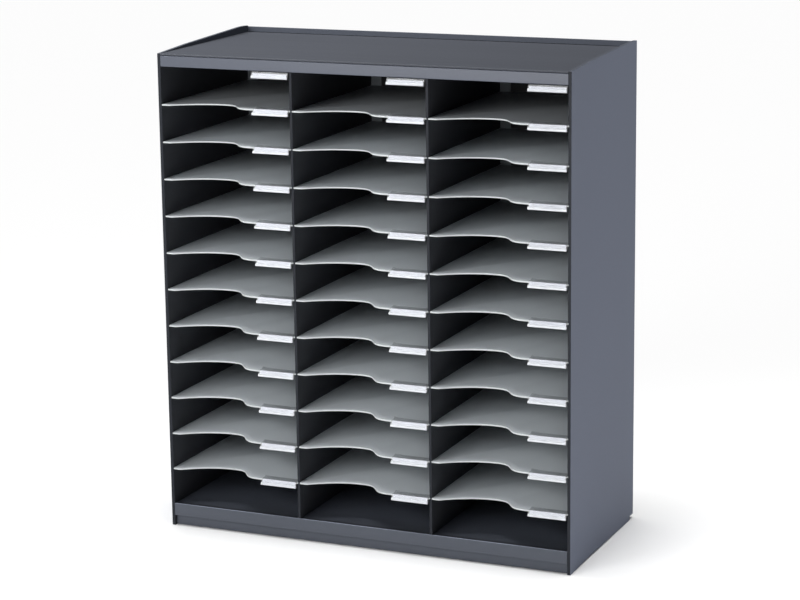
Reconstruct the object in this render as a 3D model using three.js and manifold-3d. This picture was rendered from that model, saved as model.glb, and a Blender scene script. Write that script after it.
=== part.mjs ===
// Pigeonhole mail sorter: a panel cabinet of three columns, with removable shelves that slide in
// grooves and a folded clear label holder on the front edge of each shelf.
// Millimetres, +Z up, front towards -Y. The origin is on the floor, in the middle of the footprint.

import * as THREE from 'three';
import { mergeVertices } from 'three/addons/utils/BufferGeometryUtils.js';
import Module from 'manifold-3d';

const wasm = await Module();
wasm.setup();

// Cabinet
const width = 686; // over both side panels
const depth = 308; // front edge to rear edge of a side panel
const height = 772; // floor to the face of the top panel
const columnNames = ['left', 'middle', 'right'];
const rows = 12; // compartments in a column
const sideThickness = 5;
const dividerThickness = 4;
const panelThickness = 3; // top, bottom and back panels
const seatGap = 0.2; // hairline between fixed pieces that meet

// Side panels: feet, stacking edge and rear corner
const footRadius = 2; // rounded front tip
const footLength = 14; // flat stretch behind the front tip
const archLength = 95; // front edge to the highest point of the bottom edge
const archRise = 2.6;
const heelLength = 24; // flat stretch ahead of the rear notch
const notchDepth = 16; // clears the rear rim of a unit below
const notchHeight = 6.5;
const rampLength = 88; // front edge to the bend in the top edge
const rampRise = 4.8; // at the bend, above the top panel
const sideRise = 11; // at the rear, above the top panel
const bendBlend = 28; // half length of the soft bend
const rearDrop = 1; // the top edge falls this much into the rear corner
const rearDropLength = 30;

// Rails
const plinthHeight = 17;
const plinthSetback = 6.5; // behind the face of the bottom front rail
const plinthClearance = 0.6; // above the floor
const railHeight = 20.5; // visible height of both front rails
const railWall = 2.5;
const railDepth = 14; // depth of the rails' lips and legs
const railRadius = 1.2; // rounded front edges
const floorDrop = 0.8; // floor panel below the edge of the bottom front rail
const rimHeight = 9; // rear rim above the top panel
const rearRailDrop = 28; // rear rail below the top panel's face
const rearRailBottom = 10; // lower edge of the bottom rear rail
const backInset = 1; // back panel ahead of the side panels' rear edges
const flangeWidth = 18; // rear return of the side panels and dividers
const flangeThickness = 1.6;
const dividerSetback = 1; // divider edge behind the front plane

// Shelves
const shelfThickness = 2.2;
const dividerWeb = 1.6; // left between the grooves of a divider
const grooveClearance = 0.3; // beside and behind a shelf
const grooveLift = 0.2; // above and below a shelf
const shelfSetback = 0.3; // left front corner behind the front plane
const tabLead = 1; // label tab ahead of the front plane
const tabLength = 68.5; // straight front edge that carries the label holder
const tabSideGap = 0.8; // label tab and holder to the wall on their right
const recessStart = 13.5; // left end of the shelf to the start of the recess
const recessDeepest = 96; // left end of the shelf to the deepest point
const recessDepth = 31.9;
const fallHandles = [0.03, 0.57]; // pull of the curve at the start and at the deepest point, as shares
const riseHandles = [0.61, 0.64]; // the same from the deepest point to the label tab
const cornerRadius = 3; // left front corner
const curveSteps = 14; // facets in each bend of the recess

// Label holders and cards
const holderLength = 61;
const holderWall = 0.6;
const legDepth = 13; // leg on top of the shelf
const legFlare = 2; // its rear edge, bent up above the shelf
const flareLength = 5;
const underLegDepth = 8; // leg under the shelf
const faceLength = 6.6; // label pocket, measured down its slope
const faceTilt = THREE.MathUtils.degToRad(22); // from the vertical, lower edge forward
const pocketGap = 0.9;
const filmStart = 1.2; // the front film stops this far below the top of the pocket
const lipHeight = 4; // thick upright lip under the front film
const lipRadius = 1.5; // half its thickness, with a round upper and lower edge
const cardThickness = 0.4;
const cardInset = 1.6; // left end of the holder to the card
const cardEndGap = 1.4; // card to the right end of the holder
const hookDepth = 5; // top holders: return over the lip of the top front rail
const hookClearance = 0.3;
const thumbLength = 28; // top holders: tab in the middle of the front film
const thumbRise = 1.2; // above the film's edge
const topPocketDrop = 1; // top holders: pocket below the leg on the rail
const topCardDrop = 1.8; // top of a card under the fascia, lower than that of the others

// Levels
const railTop = plinthHeight + railHeight;
const floorTop = railTop - floorDrop;
const floorUnder = floorTop - panelThickness;
const topLevel = height;
const topUnder = topLevel - panelThickness;
const fasciaBottom = topLevel - railHeight;
const rowPitch = (fasciaBottom - railTop) / rows; // from one shelf to the next
const grooveDepth = (dividerThickness - dividerWeb) / 2;

// Plan
const pocketDepth = pocketGap + holderWall; // pocket and front film
const cardLength = holderLength - cardInset - cardEndGap;
const cardTop = filmStart / 2; // down the slope
const front = 0; // the pieces are made from the front plane back, and centred at the end
const rear = front + depth;
const inner = width / 2 - sideThickness;
const columnWidth = (2 * inner - (columnNames.length - 1) * dividerThickness) / columnNames.length;
const backFace = rear - backInset - panelThickness;
const flangeFace = backFace - seatGap - flangeThickness;
const shelfRear = flangeFace - grooveClearance;

const columnLeft = (column) => -inner + column * (columnWidth + dividerThickness);
const shelfTop = (row) => fasciaBottom - row * rowPitch;

// Materials
const anthracite = new THREE.MeshStandardMaterial({ color: 0x3c4047, roughness: 0.5, metalness: 0 });
const darkBack = new THREE.MeshStandardMaterial({ color: 0x24262a, roughness: 0.7, metalness: 0 });
const greyPlastic = new THREE.MeshStandardMaterial({ color: 0x9aa0a0, roughness: 0.45, metalness: 0 });
const clearPlastic = new THREE.MeshStandardMaterial({
  color: 0xe6eaec, roughness: 0.12, metalness: 0, transparent: true, opacity: 0.4,
});
const paper = new THREE.MeshStandardMaterial({ color: 0xf4f4f2, roughness: 0.9, metalness: 0 });

const sorter = new THREE.Group();

function addPiece(name, geometry, material) {
  const mesh = new THREE.Mesh(geometry, material);
  mesh.name = name;
  sorter.add(mesh);
}

// A closed geometry as a solid, and back
function toSolid(geometry) {
  geometry.deleteAttribute('normal');
  geometry.deleteAttribute('uv');
  const merged = mergeVertices(geometry, 1e-4);
  return new wasm.Manifold(new wasm.Mesh({
    numProp: 3,
    vertProperties: merged.getAttribute('position').array,
    triVerts: Uint32Array.from(merged.getIndex().array),
  }));
}

function toGeometry(solid) {
  const { vertProperties, triVerts } = solid.getMesh();
  const geometry = new THREE.BufferGeometry();
  geometry.setAttribute('position', new THREE.BufferAttribute(vertProperties, 3));
  geometry.setIndex(new THREE.BufferAttribute(triVerts, 1));
  geometry.computeVertexNormals();
  return geometry;
}

// An outline drawn in (y, z), drawn out along X
function alongX(outline, fromX, toX, curveSegments = 3) {
  const options = { depth: toX - fromX, bevelEnabled: false, curveSegments };
  const turn = new THREE.Matrix4().makeBasis(
    new THREE.Vector3(0, 1, 0), new THREE.Vector3(0, 0, 1), new THREE.Vector3(1, 0, 0));
  return new THREE.ExtrudeGeometry(outline, options).applyMatrix4(turn).translate(fromX, 0, 0);
}

function box(low, high) {
  const size = new THREE.Vector3().subVectors(high, low);
  const centre = new THREE.Vector3().addVectors(low, high).multiplyScalar(0.5);
  return new THREE.BoxGeometry(size.x, size.y, size.z).translate(centre.x, centre.y, centre.z);
}

function polygon(points) {
  return new THREE.Shape(points.map(([y, z]) => new THREE.Vector2(y, z)));
}

// Shelf grooves in the wall face at faceX. The groove runs into the wall, away from the column.
function grooves(faceX, intoWall) {
  const overlap = 1; // past the wall's faces, so that the cut is clean
  const edgeX = faceX - intoWall * overlap;
  const bottomX = faceX + intoWall * grooveDepth;
  return Array.from({ length: rows - 1 }, (_, index) => {
    const top = shelfTop(index + 1) + grooveLift;
    return toSolid(box(
      new THREE.Vector3(Math.min(edgeX, bottomX), front - overlap, top - shelfThickness - 2 * grooveLift),
      new THREE.Vector3(Math.max(edgeX, bottomX), shelfRear + grooveClearance, top)));
  });
}

// Rear return flange on a wall, from fromX to toX
function rearFlange(fromX, toX) {
  const legUnder = topUnder - seatGap - railWall;
  return toSolid(box(
    new THREE.Vector3(fromX, flangeFace, floorTop + seatGap),
    new THREE.Vector3(toX, backFace - seatGap, legUnder - seatGap)));
}

function sideOutline() {
  const heelEnd = rear - notchDepth;
  const heelStart = heelEnd - heelLength;
  const archTop = front + archLength;
  const archEase = (run) => archRise * (1 - bendBlend / run); // where the soft bend starts
  const bendSlope = (sideRise - rampRise) / (depth - rearDropLength - rampLength);
  const outline = new THREE.Shape();
  outline.moveTo(front, footRadius);
  outline.lineTo(front, topLevel);
  outline.lineTo(front + rampLength - bendBlend, topLevel + rampRise * (1 - bendBlend / rampLength));
  outline.quadraticCurveTo(
    front + rampLength, topLevel + rampRise,
    front + rampLength + bendBlend, topLevel + rampRise + bendSlope * bendBlend);
  outline.lineTo(rear - rearDropLength, topLevel + sideRise);
  outline.quadraticCurveTo(
    rear - rearDropLength / 2, topLevel + sideRise,
    rear, topLevel + sideRise - rearDrop);
  outline.lineTo(rear, notchHeight);
  outline.lineTo(heelEnd, notchHeight);
  outline.lineTo(heelEnd, 0);
  outline.lineTo(heelStart, 0);
  outline.lineTo(archTop + bendBlend, archEase(heelStart - archTop));
  outline.quadraticCurveTo(
    archTop, archRise,
    archTop - bendBlend, archEase(archLength - footLength));
  outline.lineTo(front + footLength, 0);
  outline.lineTo(front + footRadius, 0);
  outline.quadraticCurveTo(front, 0, front, footRadius);
  return outline;
}

// inward is +1 on the left panel and -1 on the right one
function sidePanel(inward) {
  const innerX = -inward * inner;
  const outerX = -inward * width / 2;
  const wall = toSolid(alongX(sideOutline(), Math.min(innerX, outerX), Math.max(innerX, outerX), 6));
  const reachX = innerX + inward * flangeWidth;
  const flange = rearFlange(Math.min(outerX, reachX), Math.max(outerX, reachX));
  const cuts = wasm.Manifold.union(grooves(innerX, -inward));
  return toGeometry(wall.add(flange).subtract(cuts));
}

// The wall between a column and the next one, which starts at rightX
function divider(rightX) {
  const leftX = rightX - dividerThickness;
  const legUnder = topUnder - seatGap - railWall;
  const outline = polygon([
    [front + dividerSetback, railTop + seatGap],
    [front + dividerSetback, fasciaBottom - seatGap],
    [front + railDepth + seatGap, fasciaBottom - seatGap],
    [front + railDepth + seatGap, topUnder - seatGap],
    [backFace - railDepth - seatGap, topUnder - seatGap],
    [backFace - railDepth - seatGap, legUnder - seatGap],
    [backFace - seatGap, legUnder - seatGap],
    [backFace - seatGap, floorTop + seatGap],
    [front + railWall + seatGap, floorTop + seatGap],
    [front + railWall + seatGap, railTop + seatGap],
  ]);
  const wall = toSolid(alongX(outline, leftX, rightX));
  const cuts = wasm.Manifold.union([...grooves(leftX, 1), ...grooves(rightX, -1)]);
  return toGeometry(wall.add(rearFlange(leftX, rightX + flangeWidth)).subtract(cuts));
}

// A panel or rail between the side panels
function acrossCabinet(outline) {
  return alongX(outline, -inner + seatGap, inner - seatGap);
}

function topPanelOutline() {
  const nose = panelThickness / 2;
  const outline = new THREE.Shape();
  outline.moveTo(backFace - seatGap, topUnder);
  outline.lineTo(backFace - seatGap, topLevel);
  outline.lineTo(front + nose, topLevel);
  outline.absarc(front + nose, topLevel - nose, nose, Math.PI / 2, 1.5 * Math.PI, false);
  return outline;
}

// Rounds the two front corners of a rail that faces the front
function railFront(outline, bottom, top) {
  outline.lineTo(front + railRadius, bottom);
  outline.quadraticCurveTo(front, bottom, front, bottom + railRadius);
  outline.lineTo(front, top - railRadius);
  outline.quadraticCurveTo(front, top, front + railRadius, top);
}

function topFrontRailOutline() {
  const top = topUnder - seatGap;
  const outline = new THREE.Shape();
  outline.moveTo(front + railDepth, fasciaBottom);
  railFront(outline, fasciaBottom, top);
  outline.lineTo(front + railDepth, top);
  outline.lineTo(front + railDepth, top - railWall);
  outline.lineTo(front + railWall, top - railWall);
  outline.lineTo(front + railWall, fasciaBottom + railWall);
  outline.lineTo(front + railDepth, fasciaBottom + railWall);
  return outline;
}

function bottomFrontRailOutline() {
  const ledge = floorUnder - seatGap;
  const outline = new THREE.Shape();
  outline.moveTo(front + railDepth, plinthHeight);
  railFront(outline, plinthHeight, railTop);
  outline.lineTo(front + railWall, railTop);
  outline.lineTo(front + railWall, ledge);
  outline.lineTo(front + railDepth, ledge);
  outline.lineTo(front + railDepth, ledge - railWall);
  outline.lineTo(front + railWall, ledge - railWall);
  outline.lineTo(front + railWall, plinthHeight + railWall);
  outline.lineTo(front + railDepth, plinthHeight + railWall);
  return outline;
}

// An upright strip in line with the back panel, with a leg under the panel that it carries
function rearRailOutline(bottom, top, legTop) {
  return polygon([
    [backFace, bottom],
    [backFace + panelThickness, bottom],
    [backFace + panelThickness, top],
    [backFace, top],
    [backFace, legTop],
    [backFace - railDepth, legTop],
    [backFace - railDepth, legTop - railWall],
    [backFace, legTop - railWall],
  ]);
}

// A flat board's section, from frontY back
function board(frontY, backwards, bottom, top) {
  return polygon([
    [frontY, bottom],
    [frontY + backwards, bottom],
    [frontY + backwards, top],
    [frontY, top],
  ]);
}

// The slope of a label pocket whose top edge is at (y, z): its points, by their place down the slope
// and out from the face of the back wall
function pocketSlope(y, z) {
  return (down, out) => [
    y - Math.sin(faceTilt) * down - Math.cos(faceTilt) * out,
    z - Math.cos(faceTilt) * down + Math.sin(faceTilt) * out,
  ];
}

// The label pocket: a back wall, a front film and an upright lip. The outline goes on from the leg's
// front, and ends on the rear face of the back wall, at the lip.
function drawPocket(outline, at) {
  const [lipMiddle, lipTop] = at(faceLength, pocketDepth);
  outline.lineTo(...at(0, 0));
  outline.lineTo(...at(faceLength, 0));
  outline.lineTo(...at(faceLength, pocketGap));
  outline.lineTo(...at(filmStart, pocketGap));
  outline.lineTo(...at(filmStart, pocketDepth));
  outline.absarc(lipMiddle, lipTop - lipRadius, lipRadius, Math.PI / 2, Math.PI, false);
  outline.absarc(lipMiddle, lipTop - lipHeight + lipRadius, lipRadius, Math.PI, 2 * Math.PI, false);
  outline.lineTo(...at(faceLength, -holderWall));
}

// The holder that clips on a shelf's front edge at (y, z), with z on top of the shelf
function shelfHolderOutline(y, z) {
  const under = z - shelfThickness;
  const bite = holderWall / 4; // into the shelf, so that the two join
  const at = pocketSlope(y, z + holderWall);
  const clip = holderWall * (1 + Math.cos(faceTilt)) / Math.sin(faceTilt);
  const outline = new THREE.Shape();
  outline.moveTo(y + legDepth, z - bite);
  outline.lineTo(y + legDepth, z + legFlare);
  outline.lineTo(y + legDepth - flareLength, z + holderWall);
  drawPocket(outline, at);
  outline.lineTo(...at(clip, -holderWall));
  outline.lineTo(y - holderWall, under - holderWall);
  outline.lineTo(y + underLegDepth, under - holderWall);
  outline.lineTo(y + underLegDepth, under + bite);
  return outline;
}

// The label pocket under the fascia, in line with those on the shelves
const topLegLevel = fasciaBottom - hookClearance;
const topPocket = pocketSlope(front - tabLead, topLegLevel - topPocketDrop);

// The holder that hooks on the lip of the top front rail
function topHolderOutline() {
  const hookInner = front + railDepth + hookClearance;
  const hookUnder = fasciaBottom + railWall + hookClearance;
  const wallFront = front - tabLead;
  const bend = holderWall * (1 - Math.cos(faceTilt)) / Math.sin(faceTilt);
  const outline = new THREE.Shape();
  outline.moveTo(hookInner, topLegLevel);
  outline.lineTo(wallFront, topLegLevel);
  drawPocket(outline, topPocket);
  outline.lineTo(...topPocket(-bend, -holderWall));
  outline.lineTo(wallFront + holderWall, topLegLevel - holderWall);
  outline.lineTo(hookInner + holderWall, topLegLevel - holderWall);
  outline.lineTo(hookInner + holderWall, hookUnder + holderWall);
  outline.lineTo(hookInner - hookDepth, hookUnder + holderWall);
  outline.lineTo(hookInner - hookDepth, hookUnder);
  outline.lineTo(hookInner, hookUnder);
  return outline;
}

// A stretch of a pocket's slope, between two places down it and two out from its back wall
function slopeStrip(at, fromDown, toDown, fromOut, toOut) {
  return polygon([
    at(fromDown, fromOut), at(toDown, fromOut), at(toDown, toOut), at(fromDown, toOut)]);
}

// A holder under the fascia, with the tab that its film is lifted by
function topHolder(end) {
  const start = end - holderLength;
  const thumbStart = start + (holderLength - thumbLength) / 2;
  const thumb = slopeStrip(topPocket, filmStart - thumbRise, faceLength / 2, pocketGap, pocketDepth);
  return toGeometry(toSolid(alongX(topHolderOutline(), start, end))
    .add(toSolid(alongX(thumb, thumbStart, thumbStart + thumbLength))));
}

// A card in the pocket of the holder that starts at startX, with its rear face this far from the back
// wall and its top this far down the slope
function card(at, startX, fromWall, fromTop) {
  const outline = slopeStrip(
    at, fromTop, faceLength - hookClearance, fromWall, fromWall + cardThickness);
  return alongX(outline, startX + cardInset, startX + cardInset + cardLength);
}

// Right end of the label holder in a column
const holderEnd = (column) => columnLeft(column) + columnWidth - tabSideGap;

function shelfOutline(column) {
  const bite = grooveDepth - grooveClearance; // into the grooves
  const left = columnLeft(column) - bite;
  const right = columnLeft(column) + columnWidth + bite;
  const edge = front + shelfSetback;
  const tab = front - tabLead;
  const tabStart = right - tabLength;
  const deepX = left + recessDeepest;
  const deepY = edge + recessDepth;
  const fall = recessDeepest - recessStart;
  const rise = tabStart - deepX;
  const cornerCut = cornerRadius * (1 - Math.SQRT1_2);
  const outline = new THREE.Shape();
  outline.moveTo(left, shelfRear);
  outline.lineTo(left, edge + cornerRadius);
  outline.lineTo(left + cornerCut, edge + cornerCut);
  outline.lineTo(left + cornerRadius, edge);
  outline.lineTo(left + recessStart, edge);
  outline.bezierCurveTo(
    left + recessStart + fallHandles[0] * fall, edge, deepX - fallHandles[1] * fall, deepY, deepX, deepY);
  outline.bezierCurveTo(
    deepX + riseHandles[0] * rise, deepY, tabStart - riseHandles[1] * rise, tab, tabStart, tab);
  outline.lineTo(holderEnd(column), tab);
  outline.lineTo(holderEnd(column), edge);
  outline.lineTo(right, edge);
  outline.lineTo(right, shelfRear);
  return outline;
}

// A shelf with its label holder and the card that lies on the back wall of the pocket
function shelf(column, row) {
  const top = shelfTop(row);
  const options = { depth: shelfThickness, bevelEnabled: false, curveSegments: curveSteps };
  const plate = new THREE.ExtrudeGeometry(shelfOutline(column), options)
    .translate(0, 0, top - shelfThickness);
  const end = holderEnd(column);
  const start = end - holderLength;
  const tab = front - tabLead;
  const holder = alongX(shelfHolderOutline(tab, top), start, end);
  const bite = cardThickness / 4; // into the back wall, so that the two join
  const label = card(pocketSlope(tab, top + holderWall), start, -bite, cardTop);
  return toGeometry(toSolid(plate).add(toSolid(holder)).add(toSolid(label)));
}

// Cabinet pieces
addPiece('side_panel_left', sidePanel(1), anthracite);
addPiece('side_panel_right', sidePanel(-1), anthracite);
columnNames.slice(0, -1).forEach((name, column) => {
  const next = columnNames[column + 1];
  addPiece(`divider_${name}_${next}`, divider(columnLeft(column + 1)), anthracite);
});
addPiece('top_panel', acrossCabinet(topPanelOutline()), anthracite);
addPiece('top_front_rail', acrossCabinet(topFrontRailOutline()), anthracite);
addPiece('top_rear_rail', acrossCabinet(rearRailOutline(
  topLevel - rearRailDrop, topLevel + rimHeight, topUnder - seatGap)), anthracite);
const floorFront = front + railWall + seatGap;
addPiece('bottom_panel', acrossCabinet(board(
  floorFront, backFace - seatGap - floorFront, floorUnder, floorTop)), anthracite);
addPiece('bottom_front_rail', acrossCabinet(bottomFrontRailOutline()), anthracite);
addPiece('bottom_rear_rail', acrossCabinet(rearRailOutline(
  rearRailBottom, floorTop, floorUnder - seatGap)), anthracite);
addPiece('plinth', acrossCabinet(board(
  front + plinthSetback, railWall, plinthClearance, plinthHeight - seatGap)), anthracite);
addPiece('back_panel', acrossCabinet(board(
  backFace, panelThickness, floorTop + seatGap, topLevel - rearRailDrop - seatGap)), darkBack);

// Shelves, and the holders and cards of the top row
columnNames.forEach((name, column) => {
  for (let row = 1; row < rows; row += 1) {
    addPiece(`shelf_${name}_${String(row).padStart(2, '0')}`, shelf(column, row), greyPlastic);
  }
  const end = holderEnd(column);
  const cardPlay = (pocketGap - cardThickness) / 2;
  addPiece(`top_label_holder_${name}`, topHolder(end), clearPlastic);
  const topCard = card(topPocket, end - holderLength, cardPlay, cardTop + topCardDrop);
  addPiece(`top_label_card_${name}`, topCard, paper);
});

// The lips of the label holders stand ahead of the front plane and count in the footprint
const footprint = new THREE.Box3().setFromObject(sorter);
const middle = (footprint.min.y + footprint.max.y) / 2;
sorter.children.forEach((mesh) => mesh.geometry.translate(0, -middle, 0));

export default sorter;
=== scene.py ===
# Looks for the pigeonhole mail sorter: finishes and soft edges on the cabinet's own solids, and finer
# shelves, clear label holders and cards in place of the plain ones. Metres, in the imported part's frame.
import math
import random

import bmesh
import bpy
from mathutils import Matrix, Vector

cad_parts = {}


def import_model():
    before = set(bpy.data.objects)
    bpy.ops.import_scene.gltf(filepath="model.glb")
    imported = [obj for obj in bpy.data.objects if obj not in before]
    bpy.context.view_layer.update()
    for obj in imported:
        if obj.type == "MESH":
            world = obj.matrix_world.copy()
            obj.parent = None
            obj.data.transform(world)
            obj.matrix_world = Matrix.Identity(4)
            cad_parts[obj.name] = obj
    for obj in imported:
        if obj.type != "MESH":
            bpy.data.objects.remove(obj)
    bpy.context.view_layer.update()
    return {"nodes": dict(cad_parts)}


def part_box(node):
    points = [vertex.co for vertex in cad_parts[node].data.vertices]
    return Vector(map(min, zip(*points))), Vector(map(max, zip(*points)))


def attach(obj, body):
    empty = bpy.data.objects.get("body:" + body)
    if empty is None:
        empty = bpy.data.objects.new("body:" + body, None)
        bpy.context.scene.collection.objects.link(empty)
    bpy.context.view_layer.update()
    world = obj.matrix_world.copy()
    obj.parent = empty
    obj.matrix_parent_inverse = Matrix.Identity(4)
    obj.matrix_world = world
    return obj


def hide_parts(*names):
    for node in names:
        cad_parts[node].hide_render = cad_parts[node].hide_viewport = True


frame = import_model()
nodes = frame["nodes"]
scene = bpy.context.scene

MM = 0.001
COLUMNS = ("left", "middle", "right")
SHELVES = 11  # in a column

# Shelf, in millimetres, as the solids have it
SHELF_THICKNESS = 2.2
SHELF_SETBACK = 0.3
TAB_LEAD = 1.0
TAB_LENGTH = 68.5
SHELF_BITE = 0.9  # into the groove on either side
TAB_SIDE_GAP = 0.8
RECESS_START = 13.5
RECESS_DEEPEST = 96.0
RECESS_DEPTH = 31.9
FALL_HANDLES = (0.03, 0.57)  # of the curve into the recess, as shares of its length
RISE_HANDLES = (0.61, 0.64)  # of the curve out to the tab, likewise
CURVE_STEPS = 36
CORNER_RADIUS = 3.0
EDGE_ROUND = 0.5

# Label holder
HOLDER_LENGTH = 61.0
HOLDER_SPANS = 22  # along its length
HOLDER_CURLS = (0.7, 1.1, 1.6)  # extra lift of the upper leg's left end, one for each kind
FILM = 0.6  # thickness of the clear sheet
LEG_DEPTH = 13.0
LEG_POINTS = (LEG_DEPTH, 12.2, 11.2, 10.2, 9.2, 8.2, 6.0, 3.0)  # back from the tab's edge
LEG_FLARE = 2.0  # of the solid, so that its box gives the shelf's level
LEG_TOP = 0.75  # above the shelf
LEG_BEND = 0.9
LEG_LIFT = 0.7  # off the shelf, at the leg's rear edge
LIFT_START = 7.5  # back from the tab's edge
CURL_LENGTH = 40.0  # along the holder, from its left end
SHELF_GAP = 0.1  # between the holder and the shelf's edge and underside
UNDER_LEG_DEPTH = 8.0
FACE_LENGTH = 6.6
FACE_TILT = math.radians(22)  # from the vertical
POCKET_GAP = 0.9
WALL_START = 0.5  # below the top of the pocket
WALL_POINTS = (2.4, 4.4)  # down the pocket's walls
FILM_START = 1.2  # below the top of the pocket
LIP_HEIGHT = 4.0  # thick upright lip under the front film
LIP_RADIUS = 1.5
TOP_POCKET_DROP = 1.0  # under the fascia, below the leg on the rail
THUMB_RISE = 1.2
THUMB_HALF = 15.0  # half of the thumb tab's length
RAIL_WALL = 2.5
RAIL_DEPTH = 14.0
HOOK_DEPTH = 5.0
HOOK_CLEARANCE = 0.3

# Card
CARD_LENGTH = 58.0
CARD_INSET = 1.6
CARD_TOP = 0.6  # down the slope
TOP_CARD_DROP = 1.8
CARD_THICKNESS = 0.3
CARD_BOTTOM_GAP = 0.2
CARD_BACK_GAP = 0.12  # to the pocket's back wall
CARD_BOW = 0.12
CARD_SPANS = 14  # along its length
CARD_ROWS = 4

rng = random.Random(36)
front_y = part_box("side_panel_left")[0].y / MM

# Places where a finish changes its tone, most of them for painted light and shade, in metres
TONE_STEP = 0.0002  # over which one tone turns into the next
INNER_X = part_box("side_panel_right")[1].x - 0.0025  # middle of a side panel's wall
FRONT_EDGE = front_y * MM + 0.0014
TOP_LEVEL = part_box("top_panel")[1].z
SEAM_LEVEL = TOP_LEVEL + 0.0008  # top of the painted shadow in the gap between the top panel and the rim
REAR_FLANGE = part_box("back_panel")[0].y - 0.0022
FILM_LEG_START, FILM_LEG_END = -0.0008, 0.0004  # where the holder's face turns into its leg
FLOOR_SHADE_STOPS = ((11, 0.3), (12.5, 0.75), (32, 0.78), (55, 1.0))  # painted shade, (mm behind the front plane, factor)

# Colours. The cabinet is one anthracite plastic: FASCIA, RIM, SIDE and TOP, and the darker shades of
# ANTHRACITE on the rails and floor panel, are lit and shaded copies of it, each painted lighter or darker
# for how light falls on that part.
ANTHRACITE = (0.092, 0.103, 0.130)
FASCIA = (0.072, 0.082, 0.110)
RIM = (0.100, 0.112, 0.142)
SIDE = (0.152, 0.174, 0.238)
# Painted light and shade on the walls: the inner faces' shade, a lit rear flange and shaded upper edges;
# then the darker front edges.
SIDE_INNER_PAINTED_SHADE = (0.032, 0.034, 0.040)
SIDE_FLANGE_PAINTED_LIGHT = (0.24, 0.26, 0.28)
SIDE_TOP_PAINTED_SHADE = (0.078, 0.086, 0.106)
SIDE_FRONT = (0.014, 0.0165, 0.023)
TOP = (0.0585, 0.0632, 0.0758)
BACK = (0.020, 0.021, 0.024)
SHELF = (0.575, 0.608, 0.632)
SHELF_EDGE = (0.57, 0.605, 0.61)
CARD_TONES = ((0.642, 0.662, 0.733), (0.656, 0.677, 0.747))
CLEAR_TONES = ((0.90, 0.92, 0.94), (0.96, 0.97, 0.98))
CLEAR_LEG = (0.22, 0.23, 0.25)
# Painted highlight of the lip under the film.
LIP_TONES = ((0.71, 0.737, 0.777), (0.73, 0.758, 0.793))


# Materials

def node(tree, kind, inputs=None, **settings):
    made = tree.nodes.new(kind)
    for key, value in settings.items():
        setattr(made, key, value)
    for key, value in (inputs or {}).items():
        if isinstance(value, bpy.types.NodeSocket):
            tree.links.new(value, made.inputs[key])
        else:
            made.inputs[key].default_value = value
    return made


def new_material(name):
    made = bpy.data.materials.new(name)
    made.use_nodes = True
    tree = made.node_tree
    shader = tree.nodes["Principled BSDF"]
    where = node(tree, "ShaderNodeTexCoord").outputs["Object"]
    return made, tree, shader, where


def noise(tree, where, scale, detail=2.0, stretch=None):
    if stretch:
        where = node(tree, "ShaderNodeMapping", {"Vector": where, "Scale": stretch}).outputs["Vector"]
    return node(tree, "ShaderNodeTexNoise",
                {"Vector": where, "Scale": scale, "Detail": detail}).outputs["Fac"]


def spread(tree, value, low, high, from_low=0.3, from_high=0.7):
    return node(tree, "ShaderNodeMapRange", {
        "Value": value, "From Min": from_low, "From Max": from_high,
        "To Min": low, "To Max": high}).outputs["Result"]


def past(tree, value, start, end):
    """0 up to start and 1 from end on."""
    return spread(tree, value, 0.0, 1.0, start, end)


def before(tree, value, start, end):
    """1 up to start and 0 from end on."""
    return spread(tree, value, 1.0, 0.0, start, end)


def tones(tree, value, stops):
    ramp = node(tree, "ShaderNodeValToRGB", {"Fac": value})
    ends = ramp.color_ramp.elements
    for index, (at, colour) in enumerate(stops):
        stop = ends[index] if index < 2 else ends.new(at)
        stop.position = at
        stop.color = (*colour, 1.0)
    return ramp.outputs["Color"]


def blend(tree, factor, first, second, mode="MIX"):
    inputs = {"Factor": factor}
    for key, value in ((6, first), (7, second)):
        inputs[key] = value if isinstance(value, bpy.types.NodeSocket) else (*value, 1.0)
    return node(tree, "ShaderNodeMix", data_type="RGBA", blend_type=mode, inputs=inputs).outputs[2]


def bump(tree, height, strength, distance):
    return node(tree, "ShaderNodeBump", {
        "Height": height, "Strength": strength, "Distance": distance}).outputs["Normal"]


def maths(tree, operation, *values):
    return node(tree, "ShaderNodeMath", dict(enumerate(values)), operation=operation).outputs[0]


def axes(tree, vector):
    return node(tree, "ShaderNodeSeparateXYZ", {"Vector": vector}).outputs


def facing(tree):
    """The way that a surface looks, by axis."""
    return axes(tree, node(tree, "ShaderNodeNewGeometry").outputs["Normal"])


def looks_ahead(tree):
    """1 on faces that look out of the open front."""
    return before(tree, facing(tree)["Y"], -0.9, -0.6)


def shade(colour, factor):
    return tuple(c * factor for c in colour)


def wall_painted_light_and_shade(tree, where, base):
    """A side panel or divider, in painted light and shade: its faces towards the compartments painted
    dark as their shade, its rear flange there painted light as a pool of light, its inner face over the
    top panel back to the plain anthracite, its upward edges painted darker to offset the light that falls
    on them from above, and its front edges darker."""
    at = axes(tree, where)
    inside = before(tree, maths(tree, "ABSOLUTE", at["X"]), INNER_X - TONE_STEP, INNER_X)
    at_rear = past(tree, at["Y"], REAR_FLANGE - TONE_STEP, REAR_FLANGE)
    over_top = past(tree, at["Z"], TOP_LEVEL - TONE_STEP, TOP_LEVEL)
    at_front = before(tree, at["Y"], FRONT_EDGE, FRONT_EDGE + TONE_STEP)
    base = blend(tree, inside, base, SIDE_INNER_PAINTED_SHADE)
    base = blend(tree, maths(tree, "MULTIPLY", inside, at_rear), base, SIDE_FLANGE_PAINTED_LIGHT)
    base = blend(tree, maths(tree, "MULTIPLY", inside, over_top), base, ANTHRACITE)
    base = blend(tree, past(tree, facing(tree)["Z"], 0.5, 0.8), base, SIDE_TOP_PAINTED_SHADE)
    return blend(tree, maths(tree, "MULTIPLY", at_front, looks_ahead(tree)), base, SIDE_FRONT)


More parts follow.
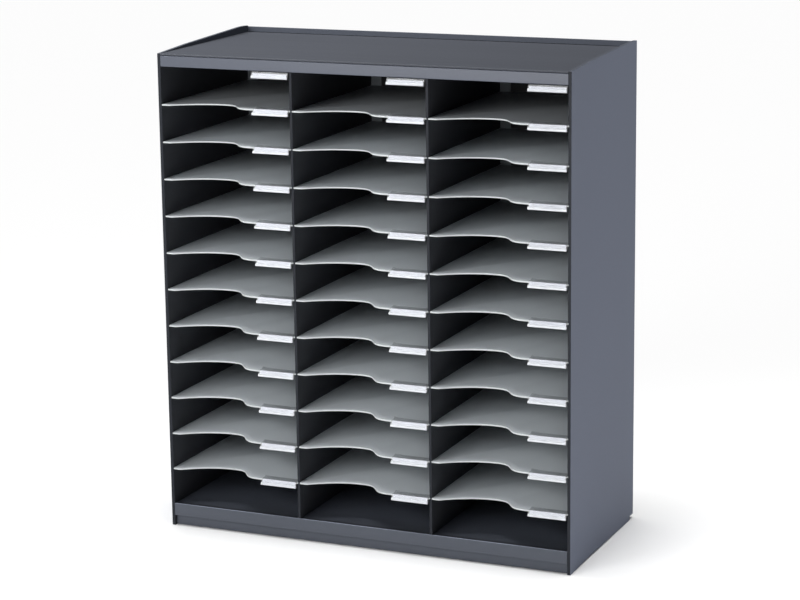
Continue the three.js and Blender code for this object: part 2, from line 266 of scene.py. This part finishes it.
def seam_painted_shadow(tree, where, base):
    """The foot of the rim's front face, painted dark as the shadow in the gap behind the top panel."""
    low = before(tree, axes(tree, where)["Z"], SEAM_LEVEL - TONE_STEP, SEAM_LEVEL + TONE_STEP)
    return blend(tree, maths(tree, "MULTIPLY", low, looks_ahead(tree)), base, shade(RIM, 0.12))


def crest_painted_highlight(tree, where, base):
    """The upper edge of a rail, painted lighter as a highlight."""
    return blend(tree, past(tree, facing(tree)["Z"], 0.3, 0.8), base, shade(ANTHRACITE, 2.3))


def floor_painted_shade(tree, where, base):
    """The floor of the lowest compartments, painted darker towards the rail that stands before it as its
    shade, with a painted shadow line in the gap right behind the rail.
    """
    reach = FLOOR_SHADE_STOPS[-1][0]
    share = past(tree, axes(tree, where)["Y"], front_y * MM, (front_y + reach) * MM)
    tone = tones(tree, share, [(at / reach, (factor,) * 3) for at, factor in FLOOR_SHADE_STOPS])
    return blend(tree, 1.0, base, tone, "MULTIPLY")


def edge_tone(tree, where, base):
    """The upright edges of a shelf."""
    slope = maths(tree, "ABSOLUTE", facing(tree)["Z"])
    return blend(tree, before(tree, slope, 0.35, 0.8), base, SHELF_EDGE)


def moulded(name, colour, rough, paint=None, specular=0.5, grain=0.12, streaks=False):
    """A satin moulded surface: cloudy tone, mottle, fine grain in the bump and uneven gloss. paint adds
    tones by place, most of them painted light and shade."""
    made, tree, shader, where = new_material(name)
    cloud = noise(tree, where, 7.0, 4.0)
    base = tones(tree, cloud, ((0.3, shade(colour, 0.988)), (0.7, shade(colour, 1.012))))
    mottle = noise(tree, where, 420.0)
    base = blend(tree, spread(tree, mottle, 0.0, 1.0), base, shade(colour, 1.04))
    height = noise(tree, where, 1500.0, 3.0)
    if streaks:
        lines = noise(tree, where, 1.0, 3.0, (2.2, 420.0, 1.0))
        base = blend(tree, spread(tree, lines, 0.0, 1.0), base, shade(colour, 1.18))
        height = maths(tree, "ADD", height, lines)
    if paint:
        base = paint(tree, where, base)
    tree.links.new(base, shader.inputs["Base Color"])
    tree.links.new(spread(tree, noise(tree, where, 260.0, 3.0), rough - 0.02, rough + 0.02),
                   shader.inputs["Roughness"])
    tree.links.new(bump(tree, height, grain, 0.0003), shader.inputs["Normal"])
    shader.inputs["Specular IOR Level"].default_value = specular
    return made


def paper_card(name, tone=1.0):
    made, tree, shader, where = new_material(name)
    fibres = noise(tree, where, 1.0, 4.0, (260.0, 900.0, 900.0))
    base = tones(tree, fibres, [(at, shade(c, tone)) for at, c in zip((0.25, 0.75), CARD_TONES)])
    tree.links.new(base, shader.inputs["Base Color"])
    tree.links.new(spread(tree, fibres, 0.75, 0.9), shader.inputs["Roughness"])
    tree.links.new(bump(tree, fibres, 0.06, 0.0001), shader.inputs["Normal"])
    return made


def clear_film(name):
    """Clear film, darker and less clear on the leg that lies behind the tab's edge."""
    made, tree, shader, where = new_material(name)
    haze = noise(tree, where, 60.0, 3.0, (1.0, 6.0, 6.0))
    on_leg = past(tree, axes(tree, where)["Y"], FILM_LEG_START, FILM_LEG_END)
    clear = tones(tree, haze, list(zip((0.3, 0.7), CLEAR_TONES)))
    tree.links.new(blend(tree, on_leg, clear, CLEAR_LEG), shader.inputs["Base Color"])
    tree.links.new(spread(tree, haze, 0.10, 0.2), shader.inputs["Roughness"])
    tree.links.new(spread(tree, on_leg, 0.11, 0.19, 0.0, 1.0), shader.inputs["Alpha"])
    shader.inputs["IOR"].default_value = 1.5
    return made


def lip_painted_highlight(name, tone=1.0):
    """The thick lip under the film: its near-white colour is a painted highlight, for the light that the
    clear rolled lip catches and carries.
    """
    made, tree, shader, where = new_material(name)
    haze = noise(tree, where, 90.0, 3.0, (1.0, 5.0, 5.0))
    base = tones(tree, haze, [(at, shade(c, tone)) for at, c in zip((0.3, 0.7), LIP_TONES)])
    tree.links.new(base, shader.inputs["Base Color"])
    tree.links.new(spread(tree, haze, 0.18, 0.26), shader.inputs["Roughness"])
    tree.links.new(spread(tree, haze, 0.86, 0.96), shader.inputs["Alpha"])
    return made


# Each anthracite finish below is the same plastic in its own painted light or shade; the paint functions
# add more painted light and shade by place.
fascia_finish = moulded("anthracite_satin", FASCIA, 0.38)
rim_finish = moulded("anthracite_rim", RIM, 0.6, seam_painted_shadow, specular=0.25)
rail_finish = moulded("anthracite_rail", shade(ANTHRACITE, 0.8), 0.5, crest_painted_highlight, specular=0.35)
side_finish = moulded("anthracite_side", SIDE, 0.6, wall_painted_light_and_shade, specular=0.25)
floor_panel_finish = moulded("anthracite_floor", shade(ANTHRACITE, 0.68), 0.45, floor_painted_shade)
top_finish = moulded("anthracite_top", TOP, 0.55, specular=0.2, streaks=True)
back_finish = moulded("back_panel_dark", BACK, 0.7)
shelf_finish = moulded("shelf_grey", SHELF, 0.48, edge_tone, grain=0.08)
card_finish = paper_card("label_card_paper")
# The top row's card and lip are darker copies of the others: painted shade for how light falls on them
# under the fascia.
top_card_finish = paper_card("top_label_card_paper", 0.88)
film_finish = clear_film("clear_film")
lip_finish = lip_painted_highlight("film_lip")
top_lip_finish = lip_painted_highlight("top_film_lip", 0.86)


# Meshes

def finish_mesh(name, work, finish, sharp):
    """A smooth-shaded mesh from a bmesh, with its edges sharp over an angle in degrees."""
    mesh = bpy.data.meshes.new(name)
    work.to_mesh(mesh)
    work.free()
    mesh.shade_smooth()
    mesh.set_sharp_from_angle(angle=math.radians(sharp))
    mesh.materials.append(finish)
    return mesh


def bezier(a, b, c, d, steps):
    for i in range(1, steps + 1):
        t = i / steps
        u = 1 - t
        yield tuple(u * u * u * p + 3 * u * u * t * q + 3 * u * t * t * r + t * t * t * s
                    for p, q, r, s in zip(a, b, c, d))


def arc(centre, radius, start, end, steps):
    """Points on a circle, with angles in degrees from the first axis."""
    for i in range(steps + 1):
        a = math.radians(start + (end - start) * i / steps)
        yield (centre[0] + radius * math.cos(a), centre[1] + radius * math.sin(a))


def shelf_mesh(width, rear):
    """The shelf plate, with its left end at x 0, the front plane at y 0 and its top at z 0."""
    edge, tab = SHELF_SETBACK, -TAB_LEAD
    tab_start = width - TAB_LENGTH
    tab_end = width - SHELF_BITE - TAB_SIDE_GAP
    deep = (RECESS_DEEPEST, edge + RECESS_DEPTH)
    fall, rise = RECESS_DEEPEST - RECESS_START, tab_start - RECESS_DEEPEST
    line = [(0.0, rear)]
    line += arc((CORNER_RADIUS, edge + CORNER_RADIUS), CORNER_RADIUS, 180, 270, steps=6)
    line.append((RECESS_START, edge))
    line += bezier((RECESS_START, edge), (RECESS_START + FALL_HANDLES[0] * fall, edge),
                   (deep[0] - FALL_HANDLES[1] * fall, deep[1]), deep, CURVE_STEPS)
    line += bezier(deep, (deep[0] + RISE_HANDLES[0] * rise, deep[1]),
                   (tab_start - RISE_HANDLES[1] * rise, tab), (tab_start, tab), CURVE_STEPS)
    line += [(tab_end, tab), (tab_end, edge), (width, edge), (width, rear)]
    work = bmesh.new()
    ring = [work.verts.new((x * MM, y * MM, 0.0)) for x, y in line]
    lid = work.faces.new(ring)
    sides = bmesh.ops.extrude_face_region(work, geom=[lid])
    moved = [v for v in sides["geom"] if isinstance(v, bmesh.types.BMVert)]
    bmesh.ops.translate(work, verts=moved, vec=(0, 0, -SHELF_THICKNESS * MM))
    bmesh.ops.recalc_face_normals(work, faces=work.faces)
    flat = [f for f in work.faces if len(f.verts) == len(line)]
    rims = {e for f in flat for e in f.edges}
    bmesh.ops.bevel(work, geom=list(rims), offset=EDGE_ROUND * MM, offset_type="OFFSET", segments=3,
                    profile=0.5, affect="EDGES", clamp_overlap=True)
    return finish_mesh("shelf_plate", work, shelf_finish, sharp=50)


class Pocket:
    """The label pocket's section, with its top edge at a height. Points are (forward, up)."""

    down = (math.sin(FACE_TILT), -math.cos(FACE_TILT))
    out = (math.cos(FACE_TILT), math.sin(FACE_TILT))

    def __init__(self, top):
        self.top = top

    def at(self, down, out):
        return (self.down[0] * down + self.out[0] * out,
                self.top + self.down[1] * down + self.out[1] * out)

    def turn(self, down, out, radius, start, end, steps):
        return [self.at(d, o) for d, o in arc((down, out), radius, start, end, steps)]

    def walls(self, start):
        """From the top edge down the back wall, up the inside of the front film, over its edge at start
        and down its face to the bend into the lip."""
        middle = POCKET_GAP / 2
        line = [self.at(d, 0) for d in (WALL_START, *WALL_POINTS)]
        line += self.turn(FACE_LENGTH - middle, middle, middle, -90, 90, steps=6)
        line += [self.at(d, POCKET_GAP) for d in reversed(WALL_POINTS)]
        line += self.turn(start + FILM / 2, POCKET_GAP + FILM / 2, FILM / 2, 270, 90, steps=5)
        line += [self.at(d, POCKET_GAP + FILM) for d in (*WALL_POINTS, FACE_LENGTH - FILM)]
        return line

    def lip(self):
        """From the end of the film over the lip's round top, down its front, round its lower edge and up
        to the rear of the back wall."""
        middle, top = self.at(FACE_LENGTH, POCKET_GAP + FILM)
        low = top - LIP_HEIGHT + LIP_RADIUS
        line = list(arc((middle, top - LIP_RADIUS), LIP_RADIUS, 90, 0, steps=8))
        line += arc((middle, low), LIP_RADIUS, 0, -180, steps=14)
        line.append(self.at(FACE_LENGTH, -FILM))
        return line

    def rear_ahead(self, forward):
        """The rear face of the back wall at a distance ahead."""
        return self.at((forward + self.out[0] * FILM) / self.down[0], -FILM)


def loft(name, sections, finish, other=None, span=(0, 0)):
    """One closed skin through sections, each (x, [(forward, up), ...]) with the same count. other is
    the finish of the faces along a span of the section's points."""
    count = len(sections[0][1])
    last = (len(sections) - 1) * count
    faces = [list(range(count))[::-1], [last + i for i in range(count)]]
    for start in range(0, last, count):
        for i in range(count):
            a, b = start + i, start + (i + 1) % count
            faces.append([a, b, b + count, a + count])
    work = bmesh.new()
    verts = [work.verts.new((x * MM, -forward * MM, up * MM))
             for x, line in sections for forward, up in line]
    for face in faces:
        work.faces.new([verts[i] for i in face])
    bmesh.ops.recalc_face_normals(work, faces=work.faces)
    mesh = finish_mesh(name, work, finish, sharp=38)
    if other:
        mesh.materials.append(other)
        for face in mesh.polygons[2:]:
            face.material_index = int(span[0] <= (face.index - 2) % count < span[1])
    return mesh


STATIONS = [HOLDER_LENGTH * i / HOLDER_SPANS for i in range(HOLDER_SPANS + 1)]
shelf_pocket = Pocket(LEG_TOP)
top_pocket = Pocket(-TOP_POCKET_DROP)


def shelf_holder_mesh(curl):
    """The holder on a shelf's front edge: x from its left end, y from the tab's edge, z from the
    shelf's top. Its upper leg lifts off the shelf at the rear, by curl more at the left end."""
    top, under = LEG_TOP, LEG_TOP - FILM
    below = -SHELF_THICKNESS - SHELF_GAP

    def lift(back, x):
        share = max(0.0, (back - LIFT_START) / (LEG_DEPTH - LIFT_START))
        left = max(0.0, 1 - x / CURL_LENGTH)
        return (LEG_LIFT + curl * left * left) * share * share

    sections = []
    for x in STATIONS:
        line = [(-LEG_DEPTH - FILM / 2, top - FILM / 2 + lift(LEG_DEPTH, x))]
        line += [(-back, top + lift(back, x)) for back in LEG_POINTS]
        line += [(-LEG_BEND, top), (-LEG_BEND / 4, top - LEG_BEND / 12)]
        line += shelf_pocket.walls(FILM_START)
        lip_from = len(line) - 1
        line += shelf_pocket.lip()
        lip_to = len(line) - 1
        line += [shelf_pocket.rear_ahead(SHELF_GAP + FILM), (SHELF_GAP + FILM, below - FILM),
                 (-UNDER_LEG_DEPTH, below - FILM), (-UNDER_LEG_DEPTH - FILM / 2, below - FILM / 2),
                 (-UNDER_LEG_DEPTH, below), (SHELF_GAP, below), (SHELF_GAP, under)]
        line += [(-back, under + lift(back, x)) for back in reversed(LEG_POINTS)]
        sections.append((x, line))
    return loft("shelf_label_holder", sections, film_finish, lip_finish, (lip_from, lip_to))


def top_holder_mesh():
    """The holder that hooks on the lip of the top front rail, with a thumb tab on its front film."""
    inner = -(TAB_LEAD + RAIL_DEPTH + HOOK_CLEARANCE)
    over = RAIL_WALL + 2 * HOOK_CLEARANCE
    bend = FILM * math.tan(FACE_TILT / 2)
    sections = []
    for x in STATIONS:
        middle = (x - HOLDER_LENGTH / 2) / THUMB_HALF
        tab = max(0.0, 1 - middle * middle) ** 0.5
        line = [(inner, 0.0), (inner / 2, 0.0), (-0.5, 0.0), (0.0, -0.5), (0.0, -TOP_POCKET_DROP)]
        line += top_pocket.walls(FILM_START - THUMB_RISE * tab)
        lip_from = len(line) - 1
        line += top_pocket.lip()
        lip_to = len(line) - 1
        line += [top_pocket.at(-bend, -FILM), (-FILM, -FILM), (inner / 2, -FILM), (inner - FILM, -FILM),
                 (inner - FILM, over + FILM), (inner + HOOK_DEPTH, over + FILM),
                 (inner + HOOK_DEPTH, over), (inner, over)]
        sections.append((x, line))
    return loft("top_label_holder", sections, film_finish, top_lip_finish, (lip_from, lip_to))


def card_mesh(pocket, top, finish):
    """A card in the pocket, slightly bowed along its length, with its top this far down the slope."""
    sections = []
    fall = FACE_LENGTH - CARD_BOTTOM_GAP - top
    downs = [top + fall * i / CARD_ROWS for i in range(CARD_ROWS + 1)]
    for i in range(CARD_SPANS + 1):
        near = CARD_BACK_GAP + CARD_BOW * math.sin(math.pi * i / CARD_SPANS)
        far = near + CARD_THICKNESS
        line = [pocket.at(d, far) for d in downs] + [pocket.at(d, near) for d in reversed(downs)]
        sections.append((CARD_LENGTH * i / CARD_SPANS, line))
    return loft("label_card", sections, finish)


def add_piece(name, mesh, at, body, slot, *replaced):
    piece = bpy.data.objects.new(name, mesh)
    scene.collection.objects.link(piece)
    piece.location = [c * MM for c in at]
    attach(piece, body)
    if replaced:
        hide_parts(*replaced)


# The cabinet's own solids

def soften(finish, width, *names):
    """Rounds the edges of solids by a width in millimetres and gives them their finish."""
    for name in names:
        solid = nodes[name]
        weld = solid.modifiers.new("weld", "WELD")
        weld.merge_threshold = 1e-6
        flat = solid.modifiers.new("flat_faces", "DECIMATE")
        flat.decimate_type = "DISSOLVE"
        flat.angle_limit = math.radians(0.5)
        edges = solid.modifiers.new("soft_edges", "BEVEL")
        edges.width = width * MM
        edges.segments = 2
        edges.limit_method = "ANGLE"
        edges.angle_limit = math.radians(40)
        solid.modifiers.new("normals", "WEIGHTED_NORMAL")
        solid.data.materials.clear()
        solid.data.materials.append(finish)


soften(side_finish, 0.35, "side_panel_left", "side_panel_right")
soften(side_finish, 0.25, "divider_left_middle", "divider_middle_right")
soften(fascia_finish, 0.4, "top_front_rail")
soften(rim_finish, 0.4, "top_rear_rail")
soften(rail_finish, 0.4, "bottom_front_rail", "bottom_rear_rail", "plinth")
soften(floor_panel_finish, 0.4, "bottom_panel")
soften(top_finish, 0.4, "top_panel")
soften(back_finish, 0.4, "back_panel")


# Shelves, holders and cards

low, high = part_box("shelf_left_01")
plate = shelf_mesh((high.x - low.x) / MM, high.y / MM - front_y)
holders = [shelf_holder_mesh(curl) for curl in HOLDER_CURLS]
shelf_card = card_mesh(shelf_pocket, CARD_TOP, card_finish)
top_holder = top_holder_mesh()
top_card = card_mesh(top_pocket, CARD_TOP + TOP_CARD_DROP, top_card_finish)
tab_y = front_y - TAB_LEAD
rail_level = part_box("top_front_rail")[0].z / MM - HOOK_CLEARANCE

for column in COLUMNS:
    for row in range(1, SHELVES + 1):
        place = f"{column}_{row:02d}"
        body = f"shelf_{place}"
        low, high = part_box(body)
        left, right, top = low.x / MM, high.x / MM, high.z / MM - LEG_FLARE
        start = right - SHELF_BITE - TAB_SIDE_GAP - HOLDER_LENGTH
        add_piece(f"plate_{place}", plate, (left, front_y, top), body, "grey_plastic", body)
        add_piece(f"holder_{place}", rng.choice(holders), (start, tab_y, top), body, "clear_plastic")
        add_piece(f"card_{place}", shelf_card, (start + CARD_INSET, tab_y, top), body, "label_paper")
    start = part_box(f"top_label_holder_{column}")[1].x / MM - HOLDER_LENGTH
    add_piece(f"top_holder_{column}", top_holder, (start, tab_y, rail_level), "cabinet",
              "clear_plastic", f"top_label_holder_{column}")
    add_piece(f"top_card_{column}", top_card, (start + CARD_INSET, tab_y, rail_level), "cabinet",
              "label_paper", f"top_label_card_{column}")


# Camera, at the viewing angle of the photograph

IMAGE_WIDTH = 800
FOCAL = 2451.3  # pixels
RAISE = 24  # pixels from the picture's middle up to the optical axis
CAMERA_AT = (1.51998, front_y * MM - 3.35732, 1.24775)
yaw, pitch, roll = math.radians(23.408), math.radians(12.355), math.radians(0.695)

lens = bpy.data.cameras.new("camera")
lens.sensor_width = 36.0
lens.lens = FOCAL * lens.sensor_width / IMAGE_WIDTH
lens.shift_y = -RAISE / IMAGE_WIDTH
camera = bpy.data.objects.new("camera", lens)
scene.collection.objects.link(camera)
ahead = Vector((-math.sin(yaw) * math.cos(pitch), math.cos(yaw) * math.cos(pitch), -math.sin(pitch)))
right = Vector((math.cos(yaw), math.sin(yaw), 0.0))
down = ahead.cross(right)
right, down = (math.cos(roll) * right + math.sin(roll) * down,
               math.cos(roll) * down - math.sin(roll) * right)
turned = Matrix((right, -down, -ahead)).transposed().to_4x4()
camera.matrix_world = Matrix.Translation(CAMERA_AT) @ turned
scene.camera = camera


# Floor and light

FLOOR_REACH = 40.0
FRONT_MIDDLE = (0.0, -0.15, 0.45)

corners = [(x * FLOOR_REACH, y * FLOOR_REACH, 0) for x, y in ((-1, -1), (1, -1), (1, 1), (-1, 1))]
floor_mesh = bpy.data.meshes.new("floor")
floor_mesh.from_pydata(corners, [], [(0, 1, 2, 3)])
floor = bpy.data.objects.new("floor", floor_mesh)
scene.collection.objects.link(floor)
floor_finish, _, shader, _ = new_material("pale_floor")
shader.inputs["Base Color"].default_value = (0.97, 0.97, 0.97, 1.0)
shader.inputs["Roughness"].default_value = 0.9
shader.inputs["Specular IOR Level"].default_value = 0.0
floor_mesh.materials.append(floor_finish)

world = bpy.data.worlds.new("studio")
scene.world = world
world.use_nodes = True
background = world.node_tree.nodes["Background"]
background.inputs["Color"].default_value = (1.0, 1.0, 1.0, 1.0)
background.inputs["Strength"].default_value = 0.029


def add_light(name, data, at, aim):
    lamp = bpy.data.objects.new(name, data)
    scene.collection.objects.link(lamp)
    lamp.location = at
    lamp.rotation_mode = "QUATERNION"
    lamp.rotation_quaternion = (Vector(aim) - Vector(at)).to_track_quat("-Z", "Y")
    lamp.visible_camera = False


def soft_box(name, at, aim, size, watts, beam=180):
    data = bpy.data.lights.new(name, "AREA")
    data.shape = "RECTANGLE"
    data.size, data.size_y = size
    data.spread = math.radians(beam)
    data.energy = watts
    add_light(name, data, at, aim)


overhead = bpy.data.lights.new("overhead", "SUN")
overhead.angle = math.radians(30)
overhead.energy = 0.976 * math.pi
add_light("overhead", overhead, (0.0, 0.05, 2.5), (0.0, 0.0, 0.0))
soft_box("key", (-0.6, -1.45, 1.0), FRONT_MIDDLE, (0.6, 0.5), 6.9)
soft_box("low", (0.15, -1.45, 0.72), FRONT_MIDDLE, (0.5, 0.5), 2.8)
soft_box("front", (-0.5, -2.6, 1.0), (0.0, -0.15, 0.42), (1.0, 0.8), 14.0)
soft_box("top_left", (-1.0, -0.12, 1.5), (0.0, 0.0, 0.77), (0.5, 0.5), 1.9, beam=60)

scene.view_settings.view_transform = "Standard"
